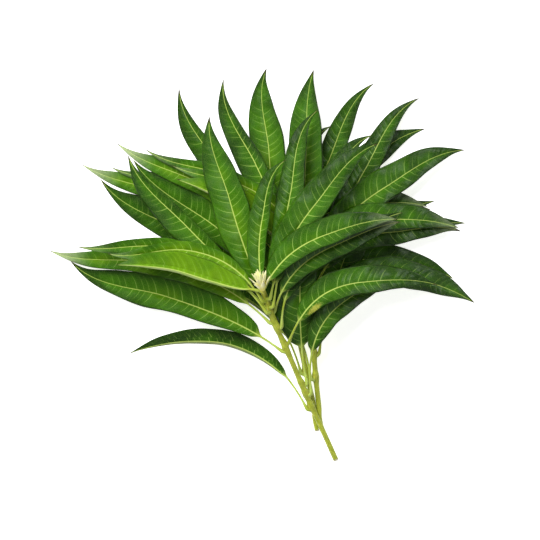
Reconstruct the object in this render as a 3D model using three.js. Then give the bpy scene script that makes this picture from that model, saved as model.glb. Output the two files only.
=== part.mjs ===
// A cut mango branch lying flat: one stem that forks near its foot into three leafy shoots.
// Millimetres, +Z up. The cut foot points to -Y and the leaves fan out towards +Y. The branch rests on
// Z = 0 on its foot and its lowest leaves, and each leaf lies on the leaves under it.
import * as THREE from 'three';

const degree = Math.PI / 180;

// Stems
const stemRadius = 2.6;
const nodeSwelling = 1.0; // extra radius where a leaf stalk joins
const nodeReach = 7; // how far along the stem that swelling spreads
const stemCurve = [[0, 0], [4, -10], [12, -32], [27, -66], [47, -112], [60, -140], [73, -169]];
const stemSides = 8;
const stemStep = 6.5;
const stemTurn = 7; // distance from the tip at which the stem turns up
const whorlReach = 25; // leaf joints nearer the tip than this make no swelling
const sideStemTaper = 0.8; // a side stem narrows where it joins the main one

// Leaves
const stalkRadius = 1.1;
const stalkBaseRadius = 1.4; // the swollen joint at the foot of a leaf stalk
const whorlRadius = 4; // the stem's tip, which bears the whorl of leaves
const bladeThickness = 0.6;
const ribDepth = 1.0; // the midrib stands this far below the blade
const widestAt = 0.42; // share of the blade's length at which it is widest
const baseFullness = 0.8; // lower is fuller
const tipFullness = 1.15;
const bladeStations = [0.06, 0.14, 0.23, 0.33, 0.43, 0.53, 0.63, 0.73, 0.83, 0.91, 0.97];
const stalkStations = [0, 0.3, 0.65, 1];

// How the pile of leaves settles
const touchingGap = 0.3; // between a stalk and the stem it grows from
const restingGap = 0.8; // between a leaf and what it lies on
const bladeStiffness = 120; // radius to which a blade bends over a leaf under it
const stalkStiffness = 7;
const fieldCell = 1.2;
const fieldHalf = 320;

// The three shoots, lowest first. Each has the same habit, turned about its bud.
// at: plan place of the bud, stem: length from bud to foot, foot and tip: heights of the stem's two ends,
// climb: above 1 the stem stays low and climbs late, open: how far the leaves fold and rise, where 1 is free
// and less is pressed down by the shoots above, bud: size of the bud, side: whether it grows from the fork.
const shoots = [
  { name: 'back', at: [21, 16], turn: -12, size: 1, stem: 162, foot: 6.2, tip: 13, climb: 1.1,
    open: 0.3, bud: 0.65, side: true },
  { name: 'middle', at: [46, 12], turn: -19, size: 1.01, stem: 164, foot: 4.6, tip: 30, climb: 1.3,
    open: 0.4, bud: 0.65, side: true },
  { name: 'front', at: [1.5, -26.5], turn: 0, size: 1, stem: 184, foot: 3.0, tip: 54, climb: 1.6,
    open: 1, bud: 1, side: false },
];

// One shoot's leaves in the order in which they lie, lowest first.
// joint: distance back from the bud along the stem (0 is the whorl round the bud), side: flank of the stem,
// bearing and reach: from joint to tip, in degrees from +X and in millimetres, bow: how far the midrib
// swings left of that line in its first and last third, stalk: length of the leaf stalk,
// left and right: half widths seen from above, tilt: slope of each half, up towards the margin,
// rise: slope of the stalk, bend: radius of the blade's own droop, on: the shoots that bear this leaf.
const leaves = [
  { name: 'lower_leaf', joint: 101, side: -1, bearing: 92, reach: 182, bow: [10, 0], stalk: 34,
    left: 18, right: 17, tilt: [8, 8], rise: 4, bend: 700, on: ['middle', 'front'] },
  { name: 'lowest_leaf', joint: 112, side: -1, bearing: 50, reach: 146, bow: [52, 44], stalk: 40,
    left: 14, right: 12, tilt: [8, 4], rise: 5, bend: 500, on: ['front'] },
  { name: 'bowed_leaf', joint: 125, side: 1, bearing: 163, reach: 186, bow: [-64, -50], stalk: 36,
    left: 7, right: 9, tilt: [-14, 18], rise: 2, bend: 600 },
  { name: 'dark_leaf', joint: 62, side: 1, bearing: 157, reach: 229, bow: [-20, 4], stalk: 24,
    left: 13, right: 21, tilt: [10, 14], rise: -2, bend: 700 },
  { name: 'long_leaf', joint: 31, side: 1, bearing: 162, reach: 231, bow: [-40, -17], stalk: 26,
    left: 12, right: 14, tilt: [10, 12], rise: -2, bend: 650 },
  { name: 'tucked_leaf', joint: 39, side: -1, bearing: 43, reach: 165, bow: [59, 6], stalk: 24,
    left: 12, right: 12, tilt: [8, 8], rise: 2, bend: 450 },
  { name: 'drooping_leaf', joint: 57, side: -1, bearing: 21, reach: 158, bow: [62, 23], stalk: 22,
    left: 17, right: 12, tilt: [-10, 14], rise: 6, bend: 300 },
  { name: 'shaded_leaf', joint: 22, side: -1, bearing: 35, reach: 153, bow: [43, 11], stalk: 18,
    left: 14, right: 13, tilt: [10, 12], rise: 6, bend: 320 },
  { name: 'rear_leaf', joint: 17, side: -1, bearing: 77, reach: 200, bow: [4, 17], stalk: 22,
    left: 13, right: 13, tilt: [14, 14], rise: 9, bend: 420 },
  { name: 'slanting_leaf', joint: 15, side: 1, bearing: 132, reach: 203, bow: [-1, 11], stalk: 20,
    left: 17, right: 9, tilt: [10, 24], rise: 6, bend: 420 },
  { name: 'broad_leaf', joint: 9, side: -1, bearing: 55, reach: 187, bow: [29, 17], stalk: 14,
    left: 19, right: 14, tilt: [12, 16], rise: 9, bend: 360 },
  { name: 'outer_leaf', joint: 21, side: 1, bearing: 161, reach: 200, bow: [-49, -32], stalk: 24,
    left: 9, right: 9, tilt: [14, 16], rise: 5, bend: 420 },
  { name: 'upright_leaf', bearing: 107, reach: 181, bow: [10, 4], stalk: 10,
    left: 19, right: 17, tilt: [12, 14], rise: 10, bend: 420 },
  { name: 'slender_leaf', joint: 9, side: 1, bearing: 163, reach: 161, bow: [-49, -23], stalk: 18,
    left: 9, right: 9, tilt: [12, 14], rise: 6, bend: 360 },
  { name: 'arching_leaf', bearing: 28, reach: 151, bow: [39, 16], stalk: 10,
    left: 17, right: 11, tilt: [-8, 18], rise: 12, bend: 260 },
  { name: 'bright_leaf', bearing: 170, reach: 148, bow: [3, -22], stalk: 12,
    left: 6, right: 16, tilt: [30, 10], rise: 10, bend: 300 },
  { name: 'inner_leaf', bearing: 80, reach: 132, bow: [17, 18], stalk: 8,
    left: 13, right: 7, tilt: [14, 30], rise: 8, bend: 380 },
];

// Bud, and the snag of a side twig beside the fork
const budLength = 22;
const budRadius = 6.5;
const budLean = 52; // from upright, towards the tip of the shoot
const snagFrom = [52, -151];
const snagTo = [55.5, -166];
const snagRadius = 2.1;

const leafLook = new THREE.MeshStandardMaterial({ color: 0x2f6b14, roughness: 0.38, metalness: 0 });
const brightLeafLook = new THREE.MeshStandardMaterial({ color: 0x7ea51c, roughness: 0.42, metalness: 0 });
const stemLook = new THREE.MeshStandardMaterial({ color: 0x9aa53c, roughness: 0.5, metalness: 0 });
const budLook = new THREE.MeshStandardMaterial({ color: 0xd9d38f, roughness: 0.6, metalness: 0 });

// The height of everything laid so far, on a grid seen from above.
class HeightField {
  constructor() {
    this.count = Math.ceil((2 * fieldHalf) / fieldCell);
    this.height = new Float32Array(this.count * this.count);
  }

  cell(value) {
    return THREE.MathUtils.clamp(Math.floor((value + fieldHalf) / fieldCell), 1, this.count - 2);
  }

  raise(x, y, z) {
    const index = this.cell(y) * this.count + this.cell(x);
    this.height[index] = Math.max(this.height[index], z);
  }

  // The highest thing in the cell and its eight neighbours
  above(x, y) {
    const column = this.cell(x);
    const row = this.cell(y);
    let top = 0;
    for (let dy = -1; dy <= 1; dy += 1) {
      for (let dx = -1; dx <= 1; dx += 1) {
        top = Math.max(top, this.height[(row + dy) * this.count + column + dx]);
      }
    }
    return top;
  }
}

// A closed solid through rings of equal length, with a single point at each end.
function loft(first, rings, last) {
  const sides = rings[0].length;
  const points = [first, ...rings.flat(), last];
  const end = points.length - 1;
  const index = [];
  for (let side = 0; side < sides; side += 1) {
    const next = (side + 1) % sides;
    index.push(0, 1 + side, 1 + next);
    for (let ring = 0; ring < rings.length - 1; ring += 1) {
      const near = 1 + ring * sides;
      const far = near + sides;
      index.push(near + side, far + side, far + next, near + side, far + next, near + next);
    }
    const lastRing = 1 + (rings.length - 1) * sides;
    index.push(lastRing + side, end, lastRing + next);
  }
  const geometry = new THREE.BufferGeometry();
  const places = points.flatMap((point) => point.toArray());
  geometry.setAttribute('position', new THREE.Float32BufferAttribute(places, 3));
  geometry.setIndex(index);
  geometry.computeVertexNormals();
  return geometry;
}

// A round tube through points, with a radius for each point and rings square to the path. Where the path
// runs straight up, a ring keeps the sideways direction of the ring before it.
function tube(points, radii, sides) {
  const across = new THREE.Vector3(1, 0, 0);
  const rings = points.map((point, i) => {
    const ahead = points[Math.min(i + 1, points.length - 1)];
    const behind = points[Math.max(i - 1, 0)];
    const along = ahead.clone().sub(behind).normalize();
    if (Math.hypot(along.x, along.y) > 0.01) across.set(along.y, -along.x, 0).normalize();
    const up = new THREE.Vector3().crossVectors(across, along);
    return Array.from({ length: sides }, (_, side) => {
      const angle = (side / sides) * 2 * Math.PI;
      return point.clone()
        .addScaledVector(across, -Math.cos(angle) * radii[i])
        .addScaledVector(up, -Math.sin(angle) * radii[i]);
    });
  });
  return loft(points[0].clone(), rings, points[points.length - 1].clone());
}

function meshOf(name, geometry, look) {
  const mesh = new THREE.Mesh(geometry, look);
  mesh.name = name;
  return mesh;
}

// Where a shoot's own plan point lies on the table
function place(shoot, x, y) {
  return new THREE.Vector2(x, y)
    .multiplyScalar(shoot.size)
    .rotateAround(new THREE.Vector2(), shoot.turn * degree)
    .add(new THREE.Vector2(...shoot.at));
}

function stemPlan(shoot) {
  const curve = new THREE.CatmullRomCurve3(stemCurve.map(([x, y]) => {
    const point = place(shoot, x, y);
    return new THREE.Vector3(point.x, point.y, 0);
  }));
  curve.arcLengthDivisions = 400;
  return curve;
}

// Height of the stem's axis at a distance back from its tip
function stemHeight(shoot, back) {
  const share = Math.max(0, 1 - back / shoot.stem);
  return shoot.foot + (shoot.tip - shoot.foot) * share ** shoot.climb;
}

// Axis point and direction towards the tip, at a distance back from the tip
function stemAt(shoot, back) {
  const share = back / shoot.plan.getLength();
  const point = shoot.plan.getPointAt(share).setZ(stemHeight(shoot, back));
  const forward = shoot.plan.getTangentAt(share).negate();
  return { point, forward };
}

// The midrib seen from above
function leafPlan(leaf, shoot) {
  const root = leaf.joint === undefined ? place(shoot, 0, 0) : jointPoint(leaf, shoot);
  const bearing = (leaf.bearing + shoot.turn) * degree;
  const across = new THREE.Vector2(-Math.sin(bearing), Math.cos(bearing));
  const along = new THREE.Vector2(Math.cos(bearing), Math.sin(bearing))
    .multiplyScalar(leaf.reach * shoot.size);
  const control = leaf.bow.map((bow, i) => root.clone()
    .addScaledVector(along, (i + 1) / 3)
    .addScaledVector(across, bow * shoot.size));
  return new THREE.CubicBezierCurve(root, control[0], control[1], root.clone().add(along));
}

// A stalk springs from the flank of the stem
function jointPoint(leaf, shoot) {
  const { point, forward } = stemAt(shoot, leaf.joint);
  const flank = new THREE.Vector2(-forward.y, forward.x).multiplyScalar(leaf.side);
  const clear = stemRadiusAt(shoot, leaf.joint) + touchingGap + stalkBaseRadius;
  return new THREE.Vector2(point.x, point.y).addScaledVector(flank, clear);
}

function bladeWidth(share) {
  return (share / widestAt) ** (baseFullness) * ((1 - share) / (1 - widestAt)) ** tipFullness;
}

// Stations along a leaf: distance from the joint, place, sideways direction, half widths and depth
function leafStations(leaf, shoot) {
  const plan = leafPlan(leaf, shoot);
  const length = plan.getLength();
  const start = leaf.joint === undefined ? whorlRadius + touchingGap : 0;
  const bladeLength = length - leaf.stalk;
  const station = (distance, share) => {
    const point = plan.getPointAt(distance / length);
    const tangent = plan.getTangentAt(distance / length);
    const onStalk = share === undefined;
    const width = onStalk ? 0 : bladeWidth(share);
    const swollen = distance <= start ? stalkBaseRadius : stalkRadius;
    return {
      distance,
      onStalk,
      point,
      left: new THREE.Vector2(-tangent.y, tangent.x),
      halfLeft: onStalk ? swollen : Math.max(stalkRadius, leaf.left * width),
      halfRight: onStalk ? swollen : Math.max(stalkRadius, leaf.right * width),
      depth: onStalk ? swollen : THREE.MathUtils.lerp(ribDepth, 0.5, share),
      crown: onStalk ? swollen : 0.2,
      thickness: onStalk ? swollen * 0.7 : bladeThickness,
      slopes: onStalk ? [0, 0] : leaf.tilt.map((tilt) => Math.tan(tilt * shoot.open * degree)),
    };
  };
  return {
    stations: [
      ...stalkStations.map((share) => station(start + share * (leaf.stalk - start))),
      ...bladeStations.map((share) => station(leaf.stalk + share * bladeLength, share)),
    ],
    tip: plan.getPointAt(1),
  };
}

// Plan points over a leaf, a few millimetres apart, with how far each surface stands from the midrib
function sampleLeaf(stations, visit) {
  for (let i = 0; i < stations.length - 1; i += 1) {
    const [near, far] = [stations[i], stations[i + 1]];
    const steps = Math.max(1, Math.ceil((far.distance - near.distance) / 1.1));
    const widest = Math.max(near.halfLeft, near.halfRight, far.halfLeft, far.halfRight);
    const lanes = Math.max(2, Math.ceil(widest / 1.1));
    for (let step = 0; step <= steps; step += 1) {
      const mix = step / steps;
      for (let lane = -lanes; lane <= lanes; lane += 1) {
        const across = lane / lanes;
        const ends = [near, far].map((station) => {
          const half = across > 0 ? station.halfLeft : station.halfRight;
          const slope = across > 0 ? station.slopes[0] : station.slopes[1];
          const share = Math.abs(across);
          const lift = slope * half * share;
          const under = share < 0.55
            ? THREE.MathUtils.lerp(station.depth, station.thickness, share / 0.55)
            : station.thickness * (1 - share) / 0.45;
          const spot = station.point.clone().addScaledVector(station.left, across * half);
          return { spot, top: lift + station.crown * (1 - share), bottom: lift - under };
        });
        const spot = ends[0].spot.clone().lerp(ends[1].spot, mix);
        visit(i, mix, spot, {
          top: THREE.MathUtils.lerp(ends[0].top, ends[1].top, mix),
          bottom: THREE.MathUtils.lerp(ends[0].bottom, ends[1].bottom, mix),
        });
      }
    }
  }
}

// Midrib heights: the leaf's own arc, lifted over whatever lies under it and bent no tighter than it can
function settle(leaf, stations, rootHeight, field, open) {
  const need = stations.map(() => 0);
  sampleLeaf(stations, (i, mix, spot, surface) => {
    const ground = field.above(spot.x, spot.y);
    const clearance = ground > 0 ? restingGap : 0;
    const height = ground + clearance - surface.bottom;
    need[i] = Math.max(need[i], height);
    need[i + 1] = Math.max(need[i + 1], height);
  });
  const rise = Math.tan(leaf.rise * open * degree);
  const arc = (distance) => rootHeight + distance * rise - distance ** 2 / (2 * leaf.bend);
  const alongStalk = (distance) => Math.min(distance, leaf.stalk);
  let heights = stations.map((station) => {
    let height = arc(station.distance);
    stations.forEach((other, j) => {
      const gap = Math.abs(other.distance - station.distance);
      const onStalk = Math.abs(alongStalk(other.distance) - alongStalk(station.distance));
      const onBlade = gap - onStalk;
      const sag = onBlade ** 2 / (2 * bladeStiffness) + onStalk ** 2 / (2 * stalkStiffness);
      height = Math.max(height, need[j] - sag);
    });
    return height;
  });
  for (let pass = 0; pass < 4; pass += 1) {
    heights = heights.map((height, i) => {
      if (i === 0 || i === heights.length - 1) return height;
      const even = (heights[i - 1] + 2 * height + heights[i + 1]) / 4;
      return Math.max(need[i], even);
    });
  }
  return heights;
}

function leafMesh(leaf, shoot, rootHeight, field) {
  const { stations, tip } = leafStations(leaf, shoot);
  const heights = settle(leaf, stations, rootHeight, field, shoot.open);
  sampleLeaf(stations, (i, mix, spot, surface) => {
    field.raise(spot.x, spot.y, THREE.MathUtils.lerp(heights[i], heights[i + 1], mix) + surface.top);
  });
  const rings = stations.map((station, i) => {
    const corner = (across, height) => {
      const half = across > 0 ? station.halfLeft : station.halfRight;
      const spot = station.point.clone().addScaledVector(station.left, across * half);
      return new THREE.Vector3(spot.x, spot.y, heights[i] + height);
    };
    const [leftSlope, rightSlope] = station.slopes;
    const leftLift = leftSlope * station.halfLeft;
    const rightLift = rightSlope * station.halfRight;
    return [
      corner(1, leftLift),
      corner(0.55, leftLift * 0.55 - station.thickness),
      corner(0, -station.depth),
      corner(-0.55, rightLift * 0.55 - station.thickness),
      corner(-1, rightLift),
      corner(0, station.crown),
    ];
  });
  const first = stations[0];
  const last = heights.length - 1;
  const drop = heights[last] - heights[last - 1];
  const end = new THREE.Vector3(tip.x, tip.y, Math.max(0.3, heights[last] + drop * 0.4));
  field.raise(end.x, end.y, end.z);
  const foot = new THREE.Vector3(first.point.x, first.point.y, heights[0]);
  const look = leaf.name === 'bright_leaf' ? brightLeafLook : leafLook;
  const mesh = meshOf(`${shoot.name}_${leaf.name}`, loft(foot, rings, end), look);
  return { mesh, settledRoot: heights[0] };
}

// The stem swells where the stalks of the lower leaves join it.
function stemRadiusAt(shoot, back) {
  const joints = leaves
    .filter((leaf) => bears(shoot, leaf) && leaf.joint > whorlReach)
    .map((leaf) => leaf.joint);
  const nearest = Math.min(...joints.map((joint) => Math.abs(joint - back)));
  return stemRadius + nodeSwelling * Math.max(0, 1 - nearest / nodeReach);
}

// The stem from its foot to the bud, where its tip turns up through the whorl of leaves
function stemMesh(shoot, whorlTop, field) {
  const count = Math.round((shoot.stem - stemTurn) / stemStep);
  const backs = Array.from({ length: count + 1 }, (_, i) => (
    THREE.MathUtils.lerp(shoot.stem, stemTurn, i / count)));
  const points = backs.map((back) => stemAt(shoot, back).point);
  const radii = backs.map((back) => stemRadiusAt(shoot, back));
  if (shoot.side) radii[0] *= sideStemTaper;
  const top = place(shoot, 0, 0);
  for (const height of [shoot.tip + whorlRadius, whorlTop]) {
    points.push(new THREE.Vector3(top.x, top.y, height));
    radii.push(whorlRadius);
  }
  for (let i = 0; i < points.length - 1; i += 1) {
    for (let mix = 0; mix < 1; mix += 0.1) {
      const spot = points[i].clone().lerp(points[i + 1], mix);
      for (let side = -1; side <= 1; side += 0.25) {
        field.raise(spot.x + side * radii[i], spot.y, spot.z + radii[i]);
      }
    }
  }
  return meshOf(`${shoot.name}_stem`, tube(points, radii, stemSides), stemLook);
}

function bears(shoot, leaf) {
  return leaf.on === undefined || leaf.on.includes(shoot.name);
}

// A pointed bud of folded bracts, leaning the way the shoot grows
function budMesh(shoot) {
  const profile = [[0, 0], [0.5, 0.06], [0.9, 0.25], [1, 0.45], [0.78, 0.72], [0.4, 0.92], [0, 1]];
  const geometry = new THREE.LatheGeometry(
    profile.map(([radius, height]) => new THREE.Vector2(radius * budRadius, height * budLength)),
    10,
  );
  geometry.scale(shoot.bud, shoot.bud, shoot.bud);
  geometry.rotateX(Math.PI / 2 - budLean * degree);
  geometry.rotateZ((8 + shoot.turn) * degree);
  const foot = place(shoot, 0, 0);
  geometry.translate(foot.x, foot.y, 0);
  return meshOf(`${shoot.name}_bud`, geometry, budLook);
}

// Lifts a loose mesh clear of what it lies over, or to a lowest height, and returns the lift.
function settleMesh(mesh, lowest, field) {
  const position = mesh.geometry.getAttribute('position');
  const spots = Array.from({ length: position.count }, (_, i) => (
    new THREE.Vector3().fromBufferAttribute(position, i)));
  const clear = spots.map((spot) => field.above(spot.x, spot.y) + restingGap - spot.z);
  const lift = Math.max(lowest, ...clear);
  mesh.geometry.translate(0, 0, lift);
  spots.forEach((spot) => field.raise(spot.x, spot.y, spot.z + lift));
  return lift;
}

const branch = new THREE.Group();
const field = new HeightField();

for (const shoot of shoots) {
  shoot.plan = stemPlan(shoot);
  let whorlTop = shoot.tip;
  for (const leaf of leaves.filter((entry) => bears(shoot, entry))) {
    const rootHeight = leaf.joint === undefined ? shoot.tip : stemHeight(shoot, leaf.joint);
    const { mesh, settledRoot } = leafMesh(leaf, shoot, rootHeight, field);
    branch.add(mesh);
    if (leaf.joint === undefined) whorlTop = Math.max(whorlTop, settledRoot + stalkBaseRadius);
  }
  const bud = budMesh(shoot);
  const budFoot = settleMesh(bud, whorlTop + touchingGap, field);
  branch.add(bud, stemMesh(shoot, budFoot - touchingGap - budRadius * 0.35 * shoot.bud, field));
}

branch.add(meshOf('snag', tube(
  [0, 0.5, 1].map((share) => new THREE.Vector3(
    THREE.MathUtils.lerp(snagFrom[0], snagTo[0], share),
    THREE.MathUtils.lerp(snagFrom[1], snagTo[1], share),
    snagRadius,
  )),
  [snagRadius * 0.8, snagRadius, snagRadius],
  stemSides,
), stemLook));

// The origin is under the middle of the branch, on the surface it lies on.
const box = new THREE.Box3().setFromObject(branch);
const middle = box.getCenter(new THREE.Vector3());
branch.position.set(-middle.x, -middle.y, -box.min.z);
branch.updateMatrixWorld(true);

export default branch;
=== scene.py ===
# A cut mango branch lying flat: three leafy shoots that fork near the cut foot.
# Each leaf, stem and bud is a fine surface worked out on a grid and carried along the line of its own
# frame piece.
import math

import bpy
import numpy as np
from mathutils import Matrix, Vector


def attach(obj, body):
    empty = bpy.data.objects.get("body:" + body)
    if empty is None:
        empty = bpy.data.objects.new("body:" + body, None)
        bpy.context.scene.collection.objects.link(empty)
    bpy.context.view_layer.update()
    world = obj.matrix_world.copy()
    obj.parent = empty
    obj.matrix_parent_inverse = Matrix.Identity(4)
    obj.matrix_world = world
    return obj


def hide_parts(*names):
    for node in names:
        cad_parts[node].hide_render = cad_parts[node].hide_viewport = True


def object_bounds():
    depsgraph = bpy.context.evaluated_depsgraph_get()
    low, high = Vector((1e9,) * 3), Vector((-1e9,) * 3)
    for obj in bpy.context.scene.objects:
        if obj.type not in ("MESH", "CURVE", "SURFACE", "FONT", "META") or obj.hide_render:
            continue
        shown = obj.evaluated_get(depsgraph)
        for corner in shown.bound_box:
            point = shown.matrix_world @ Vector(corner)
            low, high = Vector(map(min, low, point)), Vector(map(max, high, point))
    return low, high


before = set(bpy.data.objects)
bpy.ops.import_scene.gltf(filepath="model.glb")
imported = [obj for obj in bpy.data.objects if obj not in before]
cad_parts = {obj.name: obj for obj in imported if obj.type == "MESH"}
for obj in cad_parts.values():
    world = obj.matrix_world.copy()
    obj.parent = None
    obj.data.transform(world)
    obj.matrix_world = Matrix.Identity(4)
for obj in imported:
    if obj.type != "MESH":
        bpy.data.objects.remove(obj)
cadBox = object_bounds()
mm = 0.001
shoots = ["back", "middle", "front"]  # lowest first
print("frame loaded:", len(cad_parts), "pieces")


# cubic Hermite weights at x from 0 to 1: of the start, of its slope, of the end and of its slope
def curveWeights(x):
    return 2 * x**3 - 3 * x**2 + 1, x**3 - 2 * x**2 + x, 3 * x**2 - 2 * x**3, x**3 - x**2


# a curve through values on those weights, each slope the weighted mean of the two chords beside it
def smoothCurve(knots, values, at):
    step = np.diff(knots)
    chord = np.diff(values, axis=0) / step[:, None]
    slope = np.empty_like(values)
    before, after = step[:-1, None], step[1:, None]
    slope[1:-1] = (chord[:-1] * after + chord[1:] * before) / (before + after)
    slope[0], slope[-1] = chord[0], chord[-1]
    cell = np.clip(np.searchsorted(knots, at, side="right") - 1, 0, len(step) - 1)
    x = ((at - knots[cell]) / step[cell])[:, None]
    wide = step[cell][:, None]
    start, leaving, end, arriving = curveWeights(x)
    return (start * values[cell] + leaving * wide * slope[cell]
            + end * values[cell + 1] + arriving * wide * slope[cell + 1])


# running length of a line of points
def runLength(points):
    return np.concatenate([[0.0], np.cumsum(np.linalg.norm(np.diff(points, axis=0), axis=1))])


# 0 below low, 1 above high, and a smooth S between them
def smoothStep(low, high, value):
    x = np.clip((value - low) / (high - low), 0, 1)
    return x * x * (3 - 2 * x)


def unit(vectors):
    return vectors / np.maximum(np.linalg.norm(vectors, axis=-1, keepdims=True), 1e-12)


# level and square to a direction, to its left
def leftOf(forward):
    return np.stack([-forward[:, 1], forward[:, 0], np.zeros(len(forward))], axis=1)


# bell curve of a given half width
def bell(distance, halfWidth):
    return np.exp(-(distance / halfWidth) ** 2)


# a closed skin: rings of equal length joined by quads, with a fan of triangles to a point at each end
def makeShell(name, rings, first, last, uv, attributes):
    count, around = rings.shape[:2]
    rings[..., 2] = np.maximum(rings[..., 2], 0)  # nothing goes below the surface it lies on
    points = np.concatenate([first[None], rings.reshape(-1, 3), last[None]])
    here = 1 + np.arange(count - 1)[:, None] * around + np.arange(around)
    beside = 1 + np.arange(count - 1)[:, None] * around + np.roll(np.arange(around), -1)
    quads = np.stack([here, here + around, beside + around, beside], axis=-1).reshape(-1, 4)
    start = 1 + np.arange(around)
    end = start + (count - 1) * around
    lastPoint = len(points) - 1
    fans = np.concatenate([
        np.stack([np.zeros(around, int), start, np.roll(start, -1)], axis=-1),
        np.stack([end, np.full(around, lastPoint), np.roll(end, -1)], axis=-1),
    ])
    a, b, c, d = (points[quads[:, i]] for i in range(4))
    volume = np.einsum("ij,ij->i", a, np.cross(b, c) + np.cross(c, d)).sum()
    if volume < 0:  # the rings run the other way round, so the faces are turned to point out
        quads, fans = quads[:, ::-1], fans[:, ::-1]
    mesh = bpy.data.meshes.new(name)
    mesh.from_pydata(points.tolist(), [], quads.tolist() + fans.tolist())
    mesh.shade_smooth()
    corner = np.zeros(len(mesh.loops), np.int32)
    mesh.loops.foreach_get("vertex_index", corner)
    uvPoints = np.concatenate([uv[:1, 0], uv.reshape(-1, 2), uv[-1:, 0]])
    mesh.uv_layers.new(name="surface").data.foreach_set("uv", uvPoints[corner].astype(np.float32).ravel())
    for label, values in attributes.items():
        grid = np.broadcast_to(values, (count, around))
        column = np.concatenate([grid[:1, 0], grid.ravel(), grid[-1:, 0]])
        mesh.attributes.new(label, "FLOAT", "POINT").data.foreach_set("value", column.astype(np.float32))
    piece = bpy.data.objects.new(name, mesh)
    bpy.context.scene.collection.objects.link(piece)
    return piece


def settlePiece(piece, node, material):
    piece.data.materials.append(material)
    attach(piece, "root")
    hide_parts(node)


# a node's points, merged, and which of them an edge joins
def weldedNode(node):
    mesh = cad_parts[node].data
    corners = np.zeros(len(mesh.vertices) * 3, np.float32)
    mesh.vertices.foreach_get("co", corners)
    points, index = np.unique(np.round(corners.reshape(-1, 3), 6), axis=0, return_inverse=True)
    loops = np.zeros(len(mesh.loops), np.int32)
    mesh.loops.foreach_get("vertex_index", loops)
    triangles = index.ravel()[loops].reshape(-1, 3)
    linked = np.zeros((len(points), len(points)), bool)
    for a, b in ((0, 1), (1, 2), (2, 0)):
        linked[triangles[:, a], triangles[:, b]] = True
    return points.astype(float), linked | linked.T


# walks edge by edge from one end point: each step reaches the next ring
def ringsFrom(start, linked):
    rings = [np.array([start])]
    reached = np.zeros(len(linked), bool)
    reached[start] = True
    while True:
        found = linked[rings[-1]].any(axis=0) & ~reached
        if not found.any():
            return rings
        reached |= found
        rings.append(np.flatnonzero(found))


# axis and radius of a stem, from its lowest-lying end upwards
def readStem(node):
    points, linked = weldedNode(node)
    links = linked.sum(axis=1)
    ends = np.flatnonzero(links == links.max())
    rings = ringsFrom(ends[np.argmin(points[ends, 1])], linked)
    rings = [points[ring] for ring in rings[1:] if len(ring) > 1]
    axis = np.array([ring.mean(axis=0) for ring in rings])
    radius = np.array([np.linalg.norm(ring - ring.mean(axis=0), axis=1).mean() for ring in rings])
    return axis, radius


# midrib line, half widths and slopes of a leaf, from the foot of its stalk to its tip
def readLeaf(node):
    points, linked = weldedNode(node)
    apart = np.linalg.norm(points[:, None] - points[None], axis=2)
    pair = np.unravel_index(apart.argmax(), apart.shape)
    lone = [np.partition(apart[end], 1)[1] for end in pair]  # the tip is the end that has no near neighbour
    tip = pair[int(np.argmax(lone))]
    rings = [ring for ring in ringsFrom(tip, linked)[1:] if len(ring) > 1][::-1]
    ring = points[np.array(rings)]
    flat = np.linalg.norm(ring[:, :, None, :2] - ring[:, None, :, :2], axis=3) + np.eye(6)
    nearest = flat.reshape(len(ring), -1).argmin(axis=1)  # crown and keel are one above the other
    row = np.arange(len(ring))
    one, other = ring[row, nearest // 6], ring[row, nearest % 6]
    crown = np.where((one[:, 2] > other[:, 2])[:, None], one, other)
    keel = np.where((one[:, 2] > other[:, 2])[:, None], other, one)
    mid = np.where((row < leafShape["stalkRings"])[:, None], (crown + keel) / 2,
                   crown - np.array([0, 0, leafShape["crown"]]))
    line = np.concatenate([mid, points[tip][None]])
    forward = unit(np.gradient(line, axis=0)[:-1, :2])
    leftward = np.stack([-forward[:, 1], forward[:, 0]], axis=1)
    offset = np.einsum("ijk,ik->ij", ring[:, :, :2] - mid[:, None, :2], leftward)
    knots = runLength(line[:, :2])
    stalk = knots[leafShape["stalkRings"] - 1]
    share = (knots[:-1] - stalk) / (knots[-1] - stalk)
    broad = (share > 0.2) & (share < 0.8)
    plain = powerOutline(share, leafShape["frameBaseFullness"], leafShape["frameTipFullness"])
    halves, slopes = [], []
    for sign in (1, -1):
        edge = (sign * offset).argmax(axis=1)
        reach = np.abs(offset[row, edge])
        halves.append(np.median(reach[broad] / plain[broad]))
        slopes.append(np.median((ring[row, edge, 2] - mid[:, 2])[broad] / reach[broad]))
    return {"line": line, "knots": knots, "stalk": stalk, "halves": halves, "slopes": slopes}


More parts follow.
